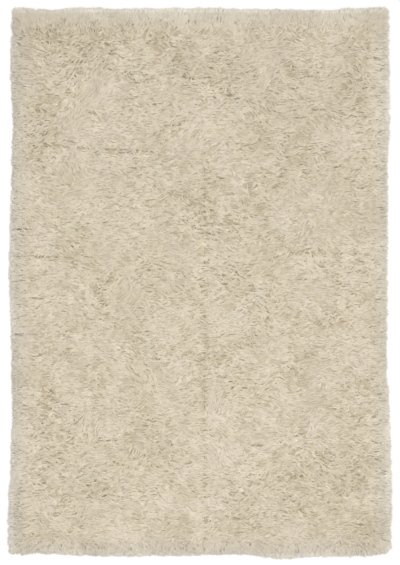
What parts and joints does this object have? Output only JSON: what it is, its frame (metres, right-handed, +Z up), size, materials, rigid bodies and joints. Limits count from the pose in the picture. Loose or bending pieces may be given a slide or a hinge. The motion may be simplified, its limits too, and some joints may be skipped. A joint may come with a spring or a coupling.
{
  "type": "shag rug",
  "caption": "Rectangular wool shag rug with long soft pile lying in tufts, slightly uneven edges and loose locks around its rim.",
  "frame": {"origin": "on the floor, under the middle of the rug's overall box", "axes": "+X across the rug's width, +Y along its length, +Z up out of the pile"},
  "size_m": [1.621, 2.3242, 0.0507],
  "materials": {
    "cream_wool": "undyed cream wool pile, long and matt"
  },
  "bodies": {
    "root": {"shag_pile": "cream_wool"}
  },
  "joints": []
}
